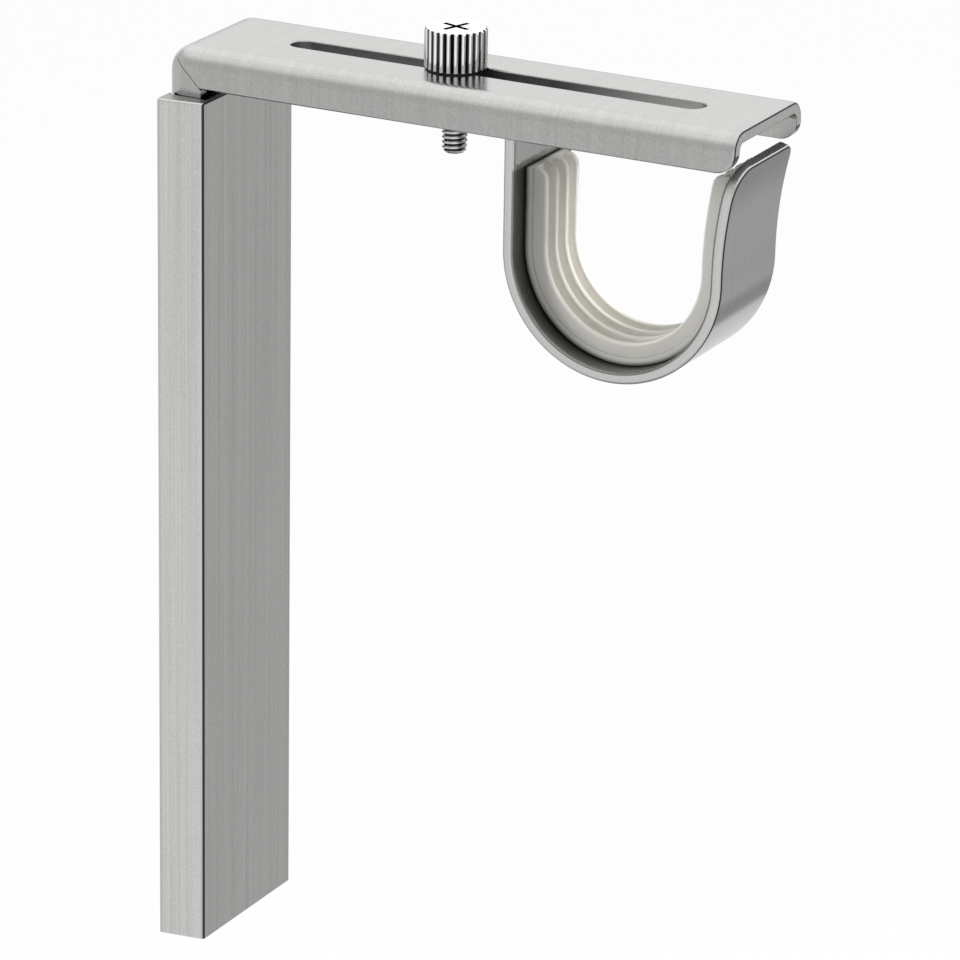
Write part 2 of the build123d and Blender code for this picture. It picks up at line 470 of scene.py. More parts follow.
@dataclass(frozen=True)
class SteelFinish:
    """Plated steel: brushed, with grainy sheared edges, dark punched walls partly in painted shade, painted
    dark edge lines that stand in for reflections, and painted shade round a covering piece where given.

    Scales are in cycles per metre, and each spread is a share of its tone.
    """

    name: str
    grain: Grain
    tone: float
    roughness: float
    streaks: float
    bump: float
    place: Coordinates = Coordinates.OBJECT
    tone_spread: float = 0.2
    sheared_tone: float = 0.66
    sheared_spread: float = 0.25
    # The punched walls' dark tone is partly the cut's own duller colour and partly painted shade.
    punched_and_shade_tone: float = 0.14
    punched_spread: float = 0.3
    # Tone of the painted dark edge lines, a painted reflection.
    painted_line_tone: float = 0.09
    # Tone of the punched walls where their painted shade has faded out.
    shade_end_tone: float = 0.55
    edge_roughness: float = 0.42
    fine_share: float = 0.7
    broad_share: float = 0.6
    broad_scale: float = 0.22
    cloud_share: float = 0.2
    cloud_scale: float = 38.0
    speckle: float = 0.8
    speck_scale: float = 3400.0
    relief_depth: float = 0.00002
    relief_share: float = 0.8
    rough_lines: float = 0.06
    rough_cloud: float = 0.05
    # Painted shade round a covering piece: how much of it shows, and how dark it is.
    painted_shade_share: float = 0.92
    painted_shade_tone: float = 0.02
    warmth: float = 0.012
    covered: Optional[Footprint] = None
    # Where along X the punched walls' painted shade fades to shade_end_tone, in metres.
    punched_shade_fade: Optional[tuple[float, float]] = None

    def material(self) -> Material:
        """Builds the material.

        Returns:
            A metal whose colour, roughness and relief follow the grain and the kind of edge.
        """
        graph = MaterialGraph(self.name)
        place = self.place.wire(graph)
        kind = graph.node("ShaderNodeAttribute", out="Fac", attribute_name=EDGE_KIND)
        painted_line = (kind * -1.0).at_least(0.0)
        punched = (kind - 1.0).at_least(0.0)
        sheared = kind.at_least(0.0) - punched * 2.0
        fine = graph.noise(place, self.grain.value, 2.0) - 0.5
        broad = graph.noise(place, tuple(self.broad_scale * v for v in self.grain.value), 3.0, 0.6) - 0.5
        cloud = graph.noise(place, self.cloud_scale, 2.0) - 0.5
        speck = graph.noise(place, self.speck_scale, 2.0)
        streaks = (fine * self.fine_share + broad * self.broad_share) * self.streaks
        lines = streaks + (speck - 0.5) * self.speckle
        factor = lines + cloud * self.cloud_share + 0.5
        plating = graph.blend(factor, *self._pair(self.tone, self.tone_spread))
        # Painted shade on the strip round the covering liner, for its shade and dark reflection there.
        if self.covered:
            painted_shade = self.covered.painted_shade(graph, place) * self.painted_shade_share
            plating = graph.blend(painted_shade, plating, self._colour(self.tone * self.painted_shade_tone))
        # Painted dark edge lines, standing in for dark reflections along edges.
        plating = graph.blend(painted_line, plating, self._colour(self.painted_line_tone))
        torn = graph.blend(speck, *self._pair(self.sheared_tone, self.sheared_spread))
        # Punched walls: partly the cut's own dull colour, partly painted shade, which fades out along X
        # where given.
        dark = graph.blend(speck, *self._pair(self.punched_and_shade_tone, self.punched_spread))
        if self.punched_shade_fade:
            along = graph.parts(place)[0]
            dark = graph.blend(along.step(*self.punched_shade_fade), dark, self._colour(self.shade_end_tone))
        dull = lines * self.rough_lines + cloud * self.rough_cloud + self.roughness
        return graph.principled(
            {
                "Base Color": graph.blend(punched, graph.blend(sheared, plating, torn), dark),
                "Metallic": 1.0,
                "Roughness": dull + (sheared + punched) * (self.edge_roughness - dull),
                "Normal": graph.relief(lines * self.relief_share + 0.5, self.bump, self.relief_depth),
            }
        )

    def _pair(self, tone: float, spread: float) -> tuple[Colour, Colour]:
        """The darkest and lightest colour round a tone."""
        return self._colour(tone * (1 - spread)), self._colour(tone * (1 + spread))

    def _colour(self, level: float) -> Colour:
        """The plating's slightly warm grey at a level."""
        return (level * (1 + self.warmth), level * (1 + self.warmth / 2), level * (1 - self.warmth), 1.0)


@dataclass(frozen=True)
class BrightFinish:
    """Polished plating with the faint rings of turning and painted shade in its grooves, sizes in metres."""

    name: str
    axis: tuple[float, float, float]
    rim: float
    height: float
    tone: float = 0.92
    darker: tuple[float, float, float] = (0.94, 0.94, 0.93)
    roughness: float = 0.03
    rough_smear: float = 0.05
    thread_tone: float = 0.9
    root: float = 0.00173
    tip: float = 0.00200
    # Tone of the painted shade in the knurl's grooves and the thread's roots.
    groove_shade_tone: float = 0.04
    crest: float = 0.00010
    wall: float = 0.00026
    ring_phase: float = 26000.0
    ring_share: float = 0.25
    smear_scale: float = 420.0
    bump: float = 0.12
    relief_depth: float = 0.00001

    def material(self) -> Material:
        """Builds the material.

        Returns:
            A bright metal with turned rings round the screw's axis. Walls of the head that lie deeper
            than its crests get painted shade, and so do the thread's roots.
        """
        graph = MaterialGraph(self.name)
        place = Coordinates.OBJECT.wire(graph)
        flat = graph.vector("MULTIPLY", graph.vector("SUBTRACT", place, self.axis), (1.0, 1.0, 0.0))
        reach = graph.vector("LENGTH", flat, out="Value")
        rings = (reach * self.ring_phase).math("SINE")
        smear = graph.noise(place, self.smear_scale)
        level = graph.parts(place)[2]
        foot = self.axis[2]
        under_top = level < foot + self.height - self.crest
        # Painted shade on the head's walls that lie below its crests.
        groove = (1.0 - reach.step(self.rim - self.wall, self.rim - self.crest)) * under_top
        dark = self._greys(self.groove_shade_tone)[0]
        head = graph.blend(groove, graph.blend(smear, *self._greys(self.tone)), dark)
        flanks = graph.blend(smear, *self._greys(self.thread_tone))
        # Painted shade in the thread's roots.
        thread = graph.blend(reach.step(self.root, self.tip), dark, flanks)
        return graph.principled(
            {
                "Base Color": graph.blend(level > foot, thread, head),
                "Metallic": 1.0,
                "Roughness": smear * self.rough_smear + self.roughness,
                "Normal": graph.relief(rings * self.ring_share + smear, self.bump, self.relief_depth),
            }
        )

    def _greys(self, tone: float) -> tuple[Colour, Colour]:
        """The darker and lighter grey of a tone."""
        return (*(tone * v for v in self.darker), 1.0), (tone, tone, tone, 1.0)


@dataclass(frozen=True)
class PlasticFinish:
    """Matt moulded plastic with painted shade towards the strip that it lies on and along the base's outer
    seam, sizes in metres.
    """

    name: str
    foot: float
    shade_end: float
    seam: float
    side: float
    colour: tuple[float, float, float] = (0.86, 0.843, 0.79)
    levels: tuple[float, float] = (0.94, 1.04)
    roughness: float = 0.52
    rough_grain: float = 0.12
    specular: float = 0.35
    # Painted shade: how dark the plastic gets near the strip and at the base's outer seam.
    painted_shade: float = 0.75
    painted_shade_levels: tuple[float, float] = (0.8, 0.4)
    seam_painted_shade: float = 0.7
    seam_width: float = 0.00010
    cloud_scale: float = 160.0
    cloud_share: float = 0.7
    grain_scale: float = 2600.0
    grain_share: float = 0.3
    bump: float = 0.25
    relief_depth: float = 0.00003

    def material(self) -> Material:
        """Builds the material.

        Returns:
            An ivory plastic with a fine moulded grain and slight clouding, and painted shade at its foot and
            seam.
        """
        graph = MaterialGraph(self.name)
        place = Coordinates.OBJECT.wire(graph)
        depth = graph.parts(Coordinates.FLAT.wire(graph))[2]
        across = graph.parts(place)[1]
        at_seam = 1.0 - abs(depth - self.seam).step(0.0, self.seam_width)
        outside = abs(across).step(self.side - self.seam_width, self.side)
        cloud = graph.noise(place, self.cloud_scale)
        grain = graph.noise(place, self.grain_scale, 2.0)
        least, more = self.painted_shade_levels
        # Painted shade, darkest at the foot on the strip and gone by shade_end, with cloudy variation, plus
        # a painted shade line at the base's outer seam.
        shaded = (1.0 - depth.step(self.foot, self.shade_end)) * (cloud * more + least)
        shaded = shaded + at_seam * outside * self.seam_painted_shade
        factor = cloud * self.cloud_share + grain * self.grain_share
        plastic = graph.blend(factor, *map(self._colour, self.levels))
        return graph.principled(
            {
                "Base Color": graph.blend(shaded, plastic, self._colour(1.0 - self.painted_shade)),
                "Roughness": grain * self.rough_grain + self.roughness,
                "Specular IOR Level": self.specular,
                "Normal": graph.relief(grain, self.bump, self.relief_depth),
            }
        )

    def _colour(self, level: float) -> Colour:
        """The plastic's colour, darkened or lightened."""
        return (*(level * v for v in self.colour), 1.0)


def bands(rows: int, count: int) -> list[tuple[int, ...]]:
    """Quads between neighbouring loops of points.

    Args:
        rows: how many bands there are, one fewer than the loops.
        count: how many points each loop has.

    Returns:
        The corners of the quads, band by band.
    """
    quads = []
    for low in range(0, rows * count, count):
        high = low + count
        for i in range(count):
            j = (i + 1) % count
            quads.append((low + i, low + j, high + j, high + i))
    return quads


def loft(loops: Sequence[np.ndarray], name: str) -> Mesh:
    """A closed skin over a row of loops with the same number of points.

    Args:
        loops: arrays of points in metres, each going round the same way.
        name: the mesh's name.

    Returns:
        A mesh of quads with a face over each end.
    """
    count = len(loops[0])
    rows = len(loops) - 1
    ends = [tuple(reversed(range(count))), tuple(range(rows * count, (rows + 1) * count))]
    mesh = bpy.data.meshes.new(name)
    mesh.from_pydata(np.concatenate(loops).tolist(), [], bands(rows, count) + ends)
    shell = bmesh.new()
    shell.from_mesh(mesh)
    bmesh.ops.remove_doubles(shell, verts=shell.verts, dist=TOUCH_DISTANCE)
    bmesh.ops.recalc_face_normals(shell, faces=shell.faces)
    shell.to_mesh(mesh)
    shell.free()
    keep_flat_place(mesh)
    return mesh


def round_end(distance: float, radius: float) -> float:
    """How much of a rounded corner's side is missing at a distance from the end.

    Args:
        distance: how far the place lies from the end.
        radius: the corner's radius.

    Returns:
        The missing width, from the radius at the end to nothing.
    """
    if distance >= radius:
        return 0.0
    return radius - math.sqrt(max(radius * radius - (radius - distance) ** 2, 0.0))


def flat_plate(
    front: np.ndarray, back: np.ndarray, low: float, high: float, edge: float, name: str, line_rows: int = 0
) -> Mesh:
    """A flat plate with rounded edges, ready to be bent along its length. Sizes are in millimetres.

    Args:
        front: points of the front edge, as length and place across, from one end to the other.
        back: as many points of the back edge.
        low: depth of the lower face.
        high: depth of the upper face.
        edge: radius of all edges.
        name: the mesh's name.
        line_rows: how many rows of each lower edge's round get a painted dark line, a painted reflection.

    Returns:
        A closed mesh in metres that carries its flat place and the kind of each edge. The wall goes
        over from sheared to punched where it turns to the far end.
    """
    outline = np.concatenate([front, back[::-1]])
    run = np.roll(outline, -1, axis=0) - np.roll(outline, 1, axis=0)
    outward = np.stack([run[:, 1], -run[:, 0]], axis=1)
    outward /= np.linalg.norm(outward, axis=1, keepdims=True)
    turns = [math.radians(a) for a in EDGE_TURNS]
    levels = [(edge * (1 - math.sin(t)), low + edge * (1 - math.cos(t))) for t in turns]
    levels += [(edge * (1 - math.cos(t)), high - edge * (1 - math.sin(t))) for t in turns]
    points = []
    for inset, depth in levels:
        ring = outline - outward * inset
        points.append(np.column_stack([ring, np.full(len(ring), depth)]))
    count = len(outline)
    rows = len(levels) - 1
    faces = bands(rows, count)
    is_far = outline[:, 0] > outline[:, 0].mean()
    facing_end = np.where(is_far, np.clip((outward[:, 0] - END_FACING) / END_RUN, 0.0, 1.0), 0.0)
    kinds = []
    for row in range(rows):
        on_line = EdgeKind.DULLED if row < line_rows else EdgeKind.PLATED
        is_wall = row == len(turns) - 1
        kinds += (EdgeKind.SHEARED.value + facing_end).tolist() if is_wall else [on_line.value] * count
    top = rows * count
    for i in range(len(front) - 1):
        far = count - 1 - i
        faces.append((i, far, far - 1, i + 1))
        faces.append((top + i, top + i + 1, top + far - 1, top + far))
        kinds += [EdgeKind.PLATED.value] * 2
    mesh = bpy.data.meshes.new(name)
    mesh.from_pydata((np.concatenate(points) * MM).tolist(), [], faces)
    keep_kinds(mesh, kinds)
    keep_flat_place(mesh)
    return mesh


def keep_kinds(mesh: Mesh, kinds: Sequence[float]) -> None:
    """Stores how each face was made on the mesh, for finishes to read."""
    mesh.attributes.new(EDGE_KIND, "FLOAT", "FACE").data.foreach_set("value", kinds)


def keep_flat_place(mesh: Mesh) -> None:
    """Stores the place of each face corner on the mesh, for finishes to read after bending.

    Args:
        mesh: the flat mesh.
    """
    places = np.empty(3 * len(mesh.vertices), dtype=np.float32)
    mesh.vertices.foreach_get("co", places)
    corners = np.empty(len(mesh.loops), dtype=np.int32)
    mesh.loops.foreach_get("vertex_index", corners)
    layer = mesh.attributes.new(FLAT_PLACE, "FLOAT_VECTOR", "CORNER")
    layer.data.foreach_set("vector", places.reshape(-1, 3)[corners].ravel())


@dataclass
class StripPath:
    """The line that the outer face of the pole holder follows, in millimetres."""

    arm_top: float
    tab_end: float = 40.6
    tab_drop: float = 4.0
    tab_bend: float = 2.0
    leg_x: float = 61.95
    cradle_radius: float = 19.65
    cradle_drop: float = 25.9
    flare_radius: float = 70.0
    spacing: float = 0.1

    def __post_init__(self) -> None:
        """Works out the lengths of the runs."""
        self.tab_run = self.leg_x - self.tab_bend - self.tab_end
        self.bend_end = self.tab_run + math.pi / 2 * self.tab_bend
        self.leg_end = self.bend_end + self.cradle_drop - self.tab_drop - self.tab_bend
        self.cradle_end = self.leg_end + math.pi * self.cradle_radius

    def on_leg(self, drop: float) -> float:
        """Length along the path where the fixed leg lies a given drop below the arm's top."""
        return self.bend_end + drop - self.tab_drop - self.tab_bend

    def on_flare(self, drop: float) -> float:
        """Length along the path where the free leg lies a given drop below the arm's top."""
        return self.cradle_end + self.flare_radius * math.asin((self.cradle_drop - drop) / self.flare_radius)

    def points(self, end: float) -> list[tuple[float, float, float]]:
        """The path as close points.

        Args:
            end: the length to run to.

        Returns:
            Points in metres in the row's frame.
        """
        middle = self.leg_x + self.cradle_radius
        flare_x = middle + self.cradle_radius + self.flare_radius
        line = []
        for s in np.arange(0.0, end + self.spacing / 2, self.spacing):
            if s < self.tab_run:
                x, z = self.tab_end + s, -self.tab_drop
            elif s < self.bend_end:
                turn = (s - self.tab_run) / self.tab_bend
                x = self.leg_x - self.tab_bend + self.tab_bend * math.sin(turn)
                z = -self.tab_drop - self.tab_bend + self.tab_bend * math.cos(turn)
            elif s < self.leg_end:
                x, z = self.leg_x, -self.tab_drop - self.tab_bend - (s - self.bend_end)
            elif s < self.cradle_end:
                turn = (s - self.leg_end) / self.cradle_radius
                x = middle - self.cradle_radius * math.cos(turn)
                z = -self.cradle_drop - self.cradle_radius * math.sin(turn)
            else:
                turn = (s - self.cradle_end) / self.flare_radius
                x = flare_x - self.flare_radius * math.cos(turn)
                z = -self.cradle_drop + self.flare_radius * math.sin(turn)
            line.append((x * MM, 0.0, (z + self.arm_top) * MM))
        return line

    def curve(self, end: float) -> Object:
        """The path as a curve for a geometry tree to sample.

        Args:
            end: the length to run to.

        Returns:
            A curve object that is not in the scene.
        """
        data = bpy.data.curves.new("strip_path", "CURVE")
        data.dimensions = "3D"
        spline = data.splines.new("POLY")
        line = self.points(end)
        spline.points.add(len(line) - 1)
        for point, place in zip(spline.points, line):
            point.co = (*place, 1.0)
        return bpy.data.objects.new("strip_path", data)


@dataclass
class Piece(ABC):
    """One piece of the bracket, which stands for a CAD node."""

    node: str
    body: str
    slot: str

    @abstractmethod
    def shape(self, material: Material) -> Mesh:
        """The piece's mesh, dressed in its material."""

    @abstractmethod
    def finish(self) -> Material:
        """The piece's material."""

    def metres(self, *fields: str) -> dict[str, float]:
        """Some of the piece's sizes in metres, by the names that a geometry tree shows."""
        return {field.replace("_", " ").title(): getattr(self, field) * MM for field in fields}

    def soften(self, mesh: Mesh, angle: float = 38.0) -> Mesh:
        """Shades a mesh smoothly between its sharp edges, with flat faces kept flat.

        Args:
            mesh: the finished shape.
            angle: edges that turn by more degrees stay sharp.

        Returns:
            The mesh with its normals weighted by face area.
        """
        mesh.shade_smooth()
        mesh.set_sharp_from_angle(angle=math.radians(angle))
        return modified(mesh, "WEIGHTED_NORMAL", {"keep_sharp": True, "weight": 100})

    def make(self) -> Object:
        """Builds the piece and ties it to its node and body.

        Returns:
            The finished object.
        """
        mesh = self.soften(self.shape(self.finish()))
        mesh.name = f"{self.node}_dressed"
        made = add_object(f"{self.node}_dressed", mesh)
        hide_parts(self.node)
        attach(made, self.body)
        return made


@dataclass
class FoldedSheet(Piece):
    """A folded sheet that keeps its solid's shape and gets its cut edges broken."""

    edge_break: float = 0.4
    edge_rows: int = 4
    flat_angle: float = 0.3
    sharp_angle: float = 50.0
    flat_facing: float = 0.995
    # Faces turned between line_facing and flat_facing towards the front get a painted dark line, a painted
    # reflection.
    line_facing: float = 0.75

    def breaking(self, middle: Vector) -> float:
        """How much of the edge break the sharp edge at a place, in millimetres, gets."""
        return 1.0

    def kind(self, middle: Vector, outward: Vector) -> EdgeKind:
        """How the face at a place, in millimetres, was made."""
        return EdgeKind.PLATED

    def shape(self, material: Material) -> Mesh:
        """The solid's faces, merged, with a small round along each sharp edge.

        Faces are parted along the middle, so that none of them goes round a slot or hole.

        Args:
            material: the sheet's finish.

        Returns:
            The mesh with its edges broken and its cut faces marked.
        """
        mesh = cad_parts[self.node].data.copy()
        shell = bmesh.new()
        shell.from_mesh(mesh)
        bmesh.ops.remove_doubles(shell, verts=shell.verts, dist=MERGE_DISTANCE)
        everything = shell.verts[:] + shell.edges[:] + shell.faces[:]
        across = (0.0, 1.0, 0.0)
        halved = bmesh.ops.bisect_plane(shell, geom=everything, plane_no=across, dist=TOUCH_DISTANCE)
        for part in halved["geom_cut"]:
            if isinstance(part, bmesh.types.BMEdge):
                part.seam = True
        bmesh.ops.dissolve_limit(
            shell,
            angle_limit=math.radians(self.flat_angle),
            verts=shell.verts,
            edges=shell.edges,
            delimit={"SEAM"},
        )
        weight = shell.edges.layers.float.new("bevel_weight_edge")
        for edge in shell.edges:
            middle = (edge.verts[0].co + edge.verts[1].co) / 2 / MM
            sharp = len(edge.link_faces) == 2 and edge.calc_face_angle() > math.radians(self.sharp_angle)
            edge[weight] = self.breaking(middle) if sharp and edge.is_convex else 0.0
        shell.to_mesh(mesh)
        shell.free()
        for layer in list(mesh.uv_layers):
            mesh.uv_layers.remove(layer)
        mesh.materials.clear()
        mesh.materials.append(material)
        mesh.shade_smooth()
        if self.edge_break > 0:
            bevel = {"width": self.edge_break * MM, "segments": self.edge_rows, "limit_method": "WEIGHT"}
            mesh = modified(mesh, "BEVEL", {**bevel, "use_clamp_overlap": False})
        keep_kinds(mesh, [self.kind(face.center / MM, face.normal).value for face in mesh.polygons])
        return mesh


@dataclass
class AngleBracket(FoldedSheet):
    """The slotted arm and wall plate, folded from one sheet, sizes in millimetres."""

    reach: float = 104.0
    top: float = 78.0
    half_width: float = 12.5
    sheet: float = 2.0
    slot_half: float = 2.5
    slot_facing: float = 0.1
    seam_zone: float = 8.0
    tip_zone: float = 0.5
    inner_share: float = 0.35
    slack: float = 0.01

    def breaking(self, middle: Vector) -> float:
        """The mitre seam's edges stay sharp and the arm's inner edges nearly so.

        Args:
            middle: the middle of the edge.

        Returns:
            The share of the edge break.
        """
        if middle.x < self.seam_zone:
            return 0.0
        between_flanges = abs(middle.y) < self.half_width - self.sheet + self.slack
        under_sheet = middle.z < self.top - self.sheet + self.slack
        return self.inner_share if between_flanges and under_sheet else 1.0

    def kind(self, middle: Vector, outward: Vector) -> EdgeKind:
        """The arm's tip is sheared inside a painted dark line, a painted reflection, and its slot is
        punched.

        Args:
            middle: the middle of the face.
            outward: the face's normal.

        Returns:
            How the face was made.
        """
        if middle.x > self.reach - self.tip_zone:
            if outward.x > self.flat_facing:
                return EdgeKind.SHEARED
            return EdgeKind.DULLED if outward.x > self.line_facing else EdgeKind.PLATED
        in_slot = abs(middle.y) < self.slot_half and self.top - self.sheet < middle.z < self.top
        return EdgeKind.PUNCHED if in_slot and abs(outward.z) < self.slot_facing else EdgeKind.PLATED

    def finish(self) -> Material:
        """Satin plating, brushed across the arm.

        Returns:
            The material. The slot's punched walls carry painted shade that fades out towards the arm's tip.
        """
        return SteelFinish(
            "satin_arm_plating", Grain.ACROSS_ARM, tone=0.5, roughness=0.21, streaks=0.6, bump=0.2,
            sheared_tone=0.72, punched_and_shade_tone=0.19, speckle=1.0, punched_shade_fade=(0.058, 0.092),
        ).material()


@dataclass
class WallCover(FoldedSheet):
    """The thin cover that slides over the wall plate. Its edges are not broken."""

    edge_break: float = 0.0
    line_facing: float = 0.55
    lip_facing: float = 0.9

    def kind(self, middle: Vector, outward: Vector) -> EdgeKind:
        """The lip at the top is a cut edge, and each fold has a painted dark line next to the front, a
        painted reflection.

        Args:
            middle: the middle of the face.
            outward: the face's normal.

        Returns:
            How the face was made.
        """
        if outward.z > self.lip_facing:
            return EdgeKind.SHEARED
        return EdgeKind.DULLED if self.line_facing < outward.x < self.flat_facing else EdgeKind.PLATED

    def finish(self) -> Material:
        """Steel brushed from top to bottom.

        Returns:
            The material.
        """
        return SteelFinish(
            "brushed_cover_steel", Grain.UPRIGHT, tone=0.58, roughness=0.25, streaks=1.3, bump=0.6,
            sheared_tone=0.42, speckle=0.9,
        ).material()


@dataclass
class ThumbScrew(Piece):
    """Knurled screw: sizes in millimetres."""

    reach: float = 47.6
    head_radius: float = 5.2
    head_height: float = 6.9
    head_chamfer: float = 0.3
    head_rows: int = 46
    teeth: int = 25
    tooth_points: int = 20
    tooth_phase: float = 0.3
    knurl_depth: float = 0.5
    crest_share: float = 0.45
    neck: float = 0.3
    neck_step: tuple[float, float] = (0.7, 1.0)
    neck_share: float = 1.6
    recess_length: float = 5.5
    recess_width: float = 0.9
    recess_depth: float = 1.6
    recess_turn: float = 72.5
    shank_radius: float = 2.2
    shank_length: float = 14.2
    shank_points: int = 56
    shank_rows: int = 268
    pitch: float = 0.84
    thread_depth: float = 0.48
    flank: tuple[float, float] = (0.08, 0.92)
    tip_chamfer: float = 0.6

    def finish(self) -> Material:
        """Polished plating.

        Returns:
            The material, laid out round the screw's axis.
        """
        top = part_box("angle_bracket")[1].z
        axis = (self.reach * MM, 0.0, top)
        rim, height = self.head_radius * MM, self.head_height * MM
        return BrightFinish("bright_screw_plating", axis, rim, height).material()

    def shape(self, material: Material) -> Mesh:
        """Head and shank joined.

        Args:
            material: the screw's finish.

        Returns:
            The screw in its place in the row's frame.
        """
        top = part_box("angle_bracket")[1].z
        both = bmesh.new()
        both.from_mesh(self._head(material))
        both.from_mesh(self._shank(material))
        bmesh.ops.translate(both, verts=both.verts, vec=(self.reach * MM, 0.0, top))
        mesh = bpy.data.meshes.new("thumb_screw")
        both.to_mesh(mesh)
        both.free()
        mesh.materials.append(material)
        return mesh

    def _head(self, material: Material) -> Mesh:
        """The knurled head.

        Args:
            material: the screw's finish.

        Returns:
            The head, from its underside at zero height up.
        """
        sizes = self.metres(
            "head_radius", "head_height", "head_chamfer", "knurl_depth", "neck",
            "recess_length", "recess_width", "recess_depth",
        )
        counts = {"Teeth": float(self.teeth), "Crest Share": self.crest_share}
        tree = GeometryGraph("knurled_head", {**sizes, **counts, "Material": material})
        radius, height, neck, crest = map(tree.given, ("Head Radius", "Head Height", "Neck", "Crest Share"))
        blank = tree.cylinder(self.teeth * self.tooth_points, self.head_rows, radius, height)
        x, y, level = tree.parts(tree.node("GeometryNodeInputPosition"))
        phase = y.math("ARCTAN2", x) * tree.given("Teeth") / (2 * math.pi) + self.tooth_phase
        wave = phase.math("PINGPONG", 0.5) * 2.0
        on_crest = wave.at_most(crest)
        drop = on_crest * on_crest / (crest * 2.0) + (wave - on_crest)
        tooth = radius - drop / (1.0 - crest * 0.5) * tree.given("Knurl Depth")
        cone = radius - tree.given("Head Chamfer") + (height * 0.5 - abs(level))
        over_neck = (level + height * 0.5) / neck
        shoulder = radius - (1.0 - over_neck.step(*self.neck_step)) * neck * self.neck_share
        reach = tooth.at_most(cone.at_most(shoulder)) / radius
        head = tree.turned(blank, reach, height * 0.5)
        tree.close(tree.minus(head, self._recess(tree, height), crossing=True))
        return tree.mesh()

    def _recess(self, tree: GeometryGraph, height: Wire) -> Wire:
        """Two crossed bars to cut from the head's top.

        Args:
            tree: the head's tree.
            height: the head's height.

        Returns:
            The bars, half sunk in the head.
        """
        length, width, depth = (tree.given(f"Recess {name}") for name in ("Length", "Width", "Depth"))
        bar = tree.node("GeometryNodeMeshCube", {"Size": tree.combine(length, width, depth * 2.0)})
        spots = tree.node("GeometryNodeMeshLine", {"Count": 2, "Offset": (0.0, 0.0, 0.0)})
        index = tree.node("GeometryNodeInputIndex")
        turn = tree.combine(z=index * (math.pi / 2) + math.radians(self.recess_turn))
        sockets = {"Points": spots, "Instance": bar, "Rotation": turn}
        bars = tree.node("GeometryNodeInstanceOnPoints", sockets)
        whole = tree.node("GeometryNodeRealizeInstances", {"Geometry": bars})
        return tree.node("GeometryNodeTransform", {"Geometry": whole, "Translation": tree.combine(z=height)})

    def _shank(self, material: Material) -> Mesh:
        """The threaded shank.

        Args:
            material: the screw's finish.

        Returns:
            The shank, hanging from zero height.
        """
        sizes = self.metres("shank_radius", "shank_length", "pitch", "thread_depth", "tip_chamfer")
        tree = GeometryGraph("threaded_shank", {**sizes, "Material": material})
        radius, length = map(tree.given, ("Shank Radius", "Shank Length"))
        blank = tree.cylinder(self.shank_points, self.shank_rows, radius, length)
        x, y, level = tree.parts(tree.node("GeometryNodeInputPosition"))
        phase = level / tree.given("Pitch") - y.math("ARCTAN2", x) / (2 * math.pi)
        groove = (phase.math("PINGPONG", 0.5) * 2.0).step(*self.flank)
        cone = radius - tree.given("Tip Chamfer") + (level + length * 0.5)
        thread = radius - groove * tree.given("Thread Depth")
        tree.close(tree.turned(blank, thread.at_most(cone) / radius, length * -0.5))
        return tree.mesh()


@dataclass
class StripPiece(Piece):
    """A piece that is drawn flat and bent round the holder's path, sizes in millimetres."""

    free_drop: float = 7.0
    path_overrun: float = 2.0

    def path(self) -> StripPath:
        """The holder's path under the arm."""
        return StripPath(arm_top=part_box("angle_bracket")[1].z / MM)

    def bending_tree(self, material: Material, more: Mapping[str, Any]) -> GeometryGraph:
        """A geometry tree with the path, the finish and further values as inputs.

        Args:
            material: the piece's finish.
            more: further named values.

        Returns:
            The open tree.
        """
        path = self.path()
        line = path.curve(path.on_flare(self.free_drop) + self.path_overrun)
        return GeometryGraph(f"bent_{self.node}", {"Path": line, "Material": material, **more})


